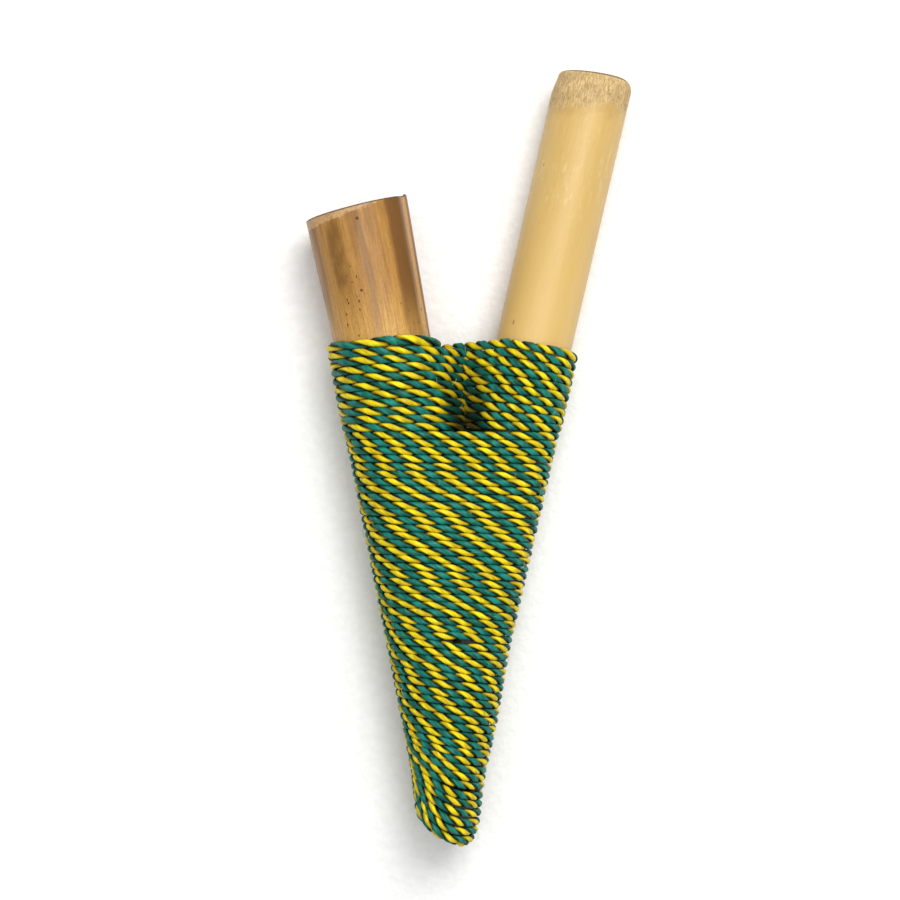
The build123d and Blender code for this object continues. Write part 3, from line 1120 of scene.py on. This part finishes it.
def left_bamboo_material():
    """Old brown bamboo: long soft streaks, a dark band beside the right edge, pores low down and
    a scraped patch at the mouth."""
    p = Painter("brown_bamboo", LEFT_MOUTH_R)
    down, across = p.surface()
    streaks = p.skin_noise(0.06, 0.55, 3.0, detail=4.0, roughness=0.55)
    fine = p.skin_noise(0.25, 5.0, 1.0)
    p.color = p.mix(p.step(streaks, 0.38, 0.64), (0.23, 0.102, 0.020), (0.44, 0.222, 0.050))
    p.layer(p.step(down, 9.0, 19.0, 0.0, 0.95), (0.68, 0.39, 0.105))
    p.layer(p.step(fine, 0.35, 0.7, 0.0, 0.4), (0.20, 0.085, 0.018))
    drift = p.times(p.noise(p.place(p.times(down, 0.15), 0.0, 7.0), 1.0), 1.2)
    moved = p.math("ADD", across, drift)
    band = p.band(moved, 4.7, 7.9, 0.55)
    band = p.times(band, p.step(down, 10.0, 20.0, 0.9, 0.35))
    p.layer(band, (0.15, 0.062, 0.014))
    # Painted highlight: a pale strip on the lit side of the groove by the right edge.
    lit_edge_strip = p.band(across, 7.6, 8.6, 0.2)
    p.layer(p.times(lit_edge_strip, 0.6), (0.62, 0.38, 0.19))
    edge = p.band(across, 8.8, 9.5, 0.15)
    p.layer(p.times(edge, 0.7), (0.12, 0.06, 0.03))
    mottle = p.skin_noise(0.5, 0.9, 5.0)
    smudge = p.band(moved, -4.2, -1.9, 0.5)
    smudge = p.times(smudge, p.band(down, 1.6, 10.0, 1.4))
    smudge = p.times(smudge, p.step(mottle, 0.3, 0.6, 0.35, 0.95))
    p.layer(smudge, (0.20, 0.095, 0.018))
    grey = p.band(moved, 0.3, 1.0, 0.35)
    grey = p.times(grey, p.band(down, 2.0, 17.0, 1.5))
    p.layer(p.times(grey, 0.55), (0.27, 0.16, 0.09))

    grainy = p.skin_noise(1.0, 1.6, 11.0, scale=2.4, roughness=0.6)
    p.layer(p.step(grainy, 0.45, 0.7, 0.0, 0.28), (0.20, 0.09, 0.02))
    pore_place = p.place(p.times(down, 0.6), p.times(across, 1.3), 0.0)
    distance, chance = p.spots(pore_place, 1.25)
    crowd = p.times(p.band(across, -5.2, -1.2, 0.5), p.step(down, 5.0, 9.5))
    few = p.times(p.step(across, 2.6, 3.6, 0.1, 0.45), p.step(down, 11.0, 14.0))
    wanted = p.math("LESS_THAN", chance, p.math("MAXIMUM", crowd, few))
    pore = p.times(p.step(distance, 0.10, 0.19, 1.0, 0.0), wanted)
    below = p.math("POWER", p.math("SUBTRACT", down, 1.75), 2.0)
    knot = p.math("ADD", below, p.times(across, across))
    knot = p.math("ADD", knot, p.times(grainy, 0.08))
    pore = p.math("MAXIMUM", pore, p.step(knot, 0.045, 0.10, 0.9, 0.0))
    p.layer(pore, (0.06, 0.02, 0.006))

    ragged = p.skin_noise(1.0, 1.0, 2.0, scale=1.6)
    sideways = p.math("SINE", p.math("DIVIDE", across, LEFT_MOUTH_R))
    limit = p.math("MULTIPLY_ADD", sideways, -0.85, p.times(ragged, 1.3))
    scraped = p.step(p.math("SUBTRACT", limit, down), -0.2, 0.25)
    scratches = p.skin_noise(6.0, 2.0, 3.0)
    scraped = p.times(scraped, p.step(scratches, 0.35, 0.6, 0.35, 0.85))
    p.layer(scraped, (0.58, 0.37, 0.18))
    rim = p.step(down, 0.05, 0.3, 0.95, 0.0)
    p.layer(rim, (0.06, 0.03, 0.012))
    # Painted shade on the wood under the cord.
    shade_under_cord(p, down, LEFT_LENGTH - LEFT_CORD_SHADE)
    rough = p.step(fine, 0.2, 0.8, 0.34, 0.5)
    rough = p.math("MAXIMUM", rough, p.times(scraped, 0.75))
    height = p.math("MULTIPLY_ADD", fine, 0.5, p.times(pore, -1.5))
    p.bump(height, 0.08, 0.7)
    return p.finish(rough, Specular_IOR_Level=0.3, Coat_Weight=0.06, Coat_Roughness=0.3)


def right_bamboo_material():
    """Straw-coloured bamboo, its skin sanded off for the last 5 mm before the mouth."""
    p = Painter("pale_bamboo", RIGHT_MOUTH_R)
    down, across = p.surface()
    soft = p.skin_noise(0.05, 0.6, 4.0)
    fine = p.skin_noise(0.3, 6.0, 9.0)
    p.color = p.mix(p.step(soft, 0.3, 0.7), (0.58, 0.385, 0.122), (0.62, 0.415, 0.145))
    p.layer(p.step(fine, 0.35, 0.7, 0.0, 0.16), (0.50, 0.30, 0.08))
    scuffs = p.skin_noise(0.5, 1.6, 21.0, detail=4.0, roughness=0.65)
    scuffs = p.times(p.step(scuffs, 0.52, 0.7, 0.0, 0.4), p.band(down, 8.0, 19.0, 3.0))
    p.layer(scuffs, (0.76, 0.56, 0.30))
    dashes = p.skin_noise(1.1, 4.5, 6.0, detail=2.0)
    p.layer(p.step(dashes, 0.56, 0.68, 0.0, 0.3), (0.50, 0.32, 0.10))
    p.layer(p.step(down, 14.0, 36.0, 0.0, 0.5), (0.66, 0.445, 0.15))
    distance, chance = p.spots(p.place(p.times(down, 0.4), across, 0.0), 0.6)
    wanted = p.math("LESS_THAN", chance, 0.16)
    speck = p.times(p.step(distance, 0.05, 0.12, 0.8, 0.0), wanted)
    p.layer(speck, (0.25, 0.13, 0.04))

    ragged = p.skin_noise(0.6, 0.8, 2.0, detail=4.0)
    limit = p.math("MULTIPLY_ADD", ragged, 4.5, 2.4)
    sideways = p.math("SINE", p.math("DIVIDE", across, RIGHT_MOUTH_R))
    limit = p.math("MULTIPLY_ADD", sideways, -0.7, limit)
    sanded = p.step(p.math("SUBTRACT", limit, down), -0.9, 1.2)
    stained = p.step(p.math("SUBTRACT", limit, down), -1.6, 0.0, 0.0, 0.6)
    p.layer(stained, (0.47, 0.29, 0.085))
    fibres = p.skin_noise(1.3, 5.5, 0.0, roughness=0.7)
    blotches = p.skin_noise(1.0, 1.0, 8.0, scale=0.8)
    raw = p.mix(p.step(fibres, 0.36, 0.64), (0.40, 0.25, 0.10), (0.72, 0.53, 0.25))
    raw = p.mix(p.step(blotches, 0.4, 0.65, 0.0, 0.5), raw, (0.40, 0.26, 0.12))
    dot, pick = p.spots(p.place(p.times(down, 0.9), p.times(across, 1.6), 4.0), 1.7)
    dots = p.times(p.step(dot, 0.16, 0.3, 0.75, 0.0), p.math("LESS_THAN", pick, 0.35))
    raw = p.mix(dots, raw, (0.20, 0.10, 0.04))
    p.layer(p.times(sanded, 0.9), raw)
    rim = p.band(down, -0.3, 0.1, 0.1)
    p.layer(p.times(rim, 0.9), (0.12, 0.075, 0.03))
    # Painted shade on the wood under the cord.
    shade_under_cord(p, down, RIGHT_LENGTH - RIGHT_CORD_SHADE)
    rough = p.step(fine, 0.2, 0.8, 0.36, 0.5)
    rough = p.math("MAXIMUM", rough, p.times(sanded, 0.8))
    height = p.math("MULTIPLY_ADD", p.times(fibres, sanded), 2.0, p.times(fine, 0.4))
    p.bump(height, 0.08, 0.8)
    return p.finish(rough, Specular_IOR_Level=0.4, Coat_Weight=0.08, Coat_Roughness=0.35)


def end_grain_material(name, pale, dark, fibre):
    """The sawn end: pale pith dotted with the dark ends of the fibres, denser towards the skin."""
    p = Painter(name)
    x, y = p.surface()
    place = p.place(x, y)
    cloud = p.noise(place, 0.7, 4.0)
    p.color = p.mix(p.step(cloud, 0.3, 0.7), pale, dark)
    distance, chance = p.spots(place, 2.4)
    dots = p.times(p.step(distance, 0.16, 0.3, 0.9, 0.0), p.math("LESS_THAN", chance, 0.8))
    p.layer(dots, fibre)
    fine = p.spots(place, 4.5)[0]
    radius = p.math("SQRT", p.math("ADD", p.times(x, x), p.times(y, y)))
    outer = p.step(radius, 4.0, 6.3, 0.0, 0.8)
    p.layer(p.times(p.step(fine, 0.2, 0.4, 1.0, 0.0), outer), fibre)
    p.bump(p.math("SUBTRACT", cloud, p.times(dots, 0.6)), 0.1, 0.7)
    return p.finish(p.step(cloud, 0.2, 0.8, 0.7, 0.85), Specular_IOR_Level=0.2)


def bore_material(name, pale, dark):
    """The inner wall: matt, fibrous along its length and darker with depth."""
    p = Painter(name)
    down, across = p.surface()
    fibres = p.noise(p.place(p.times(down, 0.3), p.times(across, 3.0)), 1.0, 4.0)
    p.color = p.mix(p.step(fibres, 0.35, 0.65), pale, dark)
    p.layer(p.step(down, 1.0, 14.0, 0.0, 0.7), dark)
    p.bump(fibres, 0.1, 0.6)
    return p.finish(p.step(fibres, 0.2, 0.8, 0.65, 0.85), Specular_IOR_Level=0.25)


def wax_material():
    """Dark brown resin and wax, lumpy and half shiny."""
    p = Painter("resin_wax")
    place = p.node("ShaderNodeTexCoord").outputs["Object"]
    lumps = p.noise(place, 420.0, 4.0)
    specks = p.noise(place, 2600.0, 2.0)
    p.color = p.mix(p.step(lumps, 0.35, 0.65), (0.045, 0.022, 0.010), (0.11, 0.05, 0.018))
    p.layer(p.step(specks, 0.6, 0.75, 0.0, 0.5), (0.20, 0.11, 0.05))
    p.bump(lumps, 0.4, 0.8)
    return p.finish(p.step(lumps, 0.3, 0.7, 0.35, 0.6), Specular_IOR_Level=0.5)


def paint(obj, *materials):
    """Gives the object these materials. Clearing an empty list would reset its faces' slots."""
    if len(obj.data.materials):
        obj.data.materials.clear()
    for material in materials:
        obj.data.materials.append(material)


def make_pipe():
    left, right = make_arms()
    paint(
        left,
        left_bamboo_material(),
        end_grain_material(
            "brown_end_grain", (0.36, 0.22, 0.10), (0.20, 0.11, 0.045), (0.05, 0.025, 0.01)
        ),
        bore_material("brown_bore", (0.42, 0.27, 0.13), (0.12, 0.06, 0.025)),
    )
    paint(
        right,
        right_bamboo_material(),
        end_grain_material(
            "pale_end_grain", (0.55, 0.40, 0.20), (0.34, 0.22, 0.10), (0.10, 0.055, 0.02)
        ),
        bore_material("pale_bore", (0.58, 0.42, 0.22), (0.18, 0.10, 0.04)),
    )
    wax = wax_material()
    for node in ("crotch_wax", "tip_wax"):
        paint(frame["nodes"][node], wax)
    strands = make_cord()
    # Each thread has a bright, a dull and a dark tone; the dull and dark tones also paint shade into
    # its grooves.
    thread = {
        "yellow": strand_material(
            "yellow_thread", (0.93, 0.77, 0.010), (0.50, 0.36, 0.004), (0.008, 0.011, 0.003), 1.0
        ),
        "green": strand_material(
            "green_thread", (0.012, 0.258, 0.205), (0.002, 0.068, 0.044), (0.0008, 0.007, 0.004), 12.0
        ),
        "fibres": fibre_material(),
    }
    for kind, objects in strands.items():
        for obj in objects:
            paint(obj, thread[kind])


make_pipe()


# ---- floor, light and camera
def paper_material():
    p = Painter("paper")
    place = p.node("ShaderNodeTexCoord").outputs["Object"]
    grain = p.noise(place, 900.0, 3.0)
    p.bump(grain, 0.3, 0.5)
    p.color = p.mix(p.step(grain, 0.3, 0.7), (0.86, 0.86, 0.85), (0.90, 0.90, 0.895))
    return p.finish(0.8, Specular_IOR_Level=0.1)


FLOOR_HALF = 1.5


def make_floor():
    """A sheet of paper that just touches the lowest turn of the cord."""
    mesh = bpy.data.meshes.new("floor")
    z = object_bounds()[0][2]
    signs = [(-1, -1), (1, -1), (1, 1), (-1, 1)]
    corners = [(FLOOR_HALF * x, FLOOR_HALF * y, z) for x, y in signs]
    mesh.from_pydata(corners, [], [(0, 1, 2, 3)])
    floor = new_object("floor", mesh)
    paint(floor, paper_material())


def area_light(name, place, size, energy):
    """A square light that faces the pipe."""
    data = bpy.data.lights.new(name, "AREA")
    data.size = size
    data.energy = energy
    obj = new_object(name, data)
    obj.location = place
    obj.rotation_euler = (-Vector(place)).to_track_quat("-Z", "Y").to_euler()


def make_lights():
    area_light("window", place=(0.16, 0.30, 0.52), size=0.35, energy=2.75)
    area_light("ceiling", place=(-0.02, 0.08, 0.9), size=0.9, energy=4.1)
    world = bpy.data.worlds.new("room")
    world.use_nodes = True
    background = world.node_tree.nodes["Background"]
    background.inputs["Color"].default_value = (1, 1, 1, 1)
    background.inputs["Strength"].default_value = 0.40
    bpy.context.scene.world = world
    bpy.context.scene.view_settings.view_transform = "Standard"


CAMERA_HEIGHT = 0.375  # above the middle of the pipe
FIELD = 0.117  # how wide the picture is there
LOOKED_AT = (-0.00239, 0.00088, 0.00715)
SENSOR = 36.0


def make_camera():
    data = bpy.data.cameras.new("camera")
    data.sensor_width = SENSOR
    data.lens = SENSOR * CAMERA_HEIGHT / FIELD
    data.clip_start = 0.01
    camera = new_object("camera", data)
    camera.location = Vector(LOOKED_AT) + Vector((0, 0, CAMERA_HEIGHT))
    bpy.context.scene.camera = camera


make_floor()
make_lights()
make_camera()
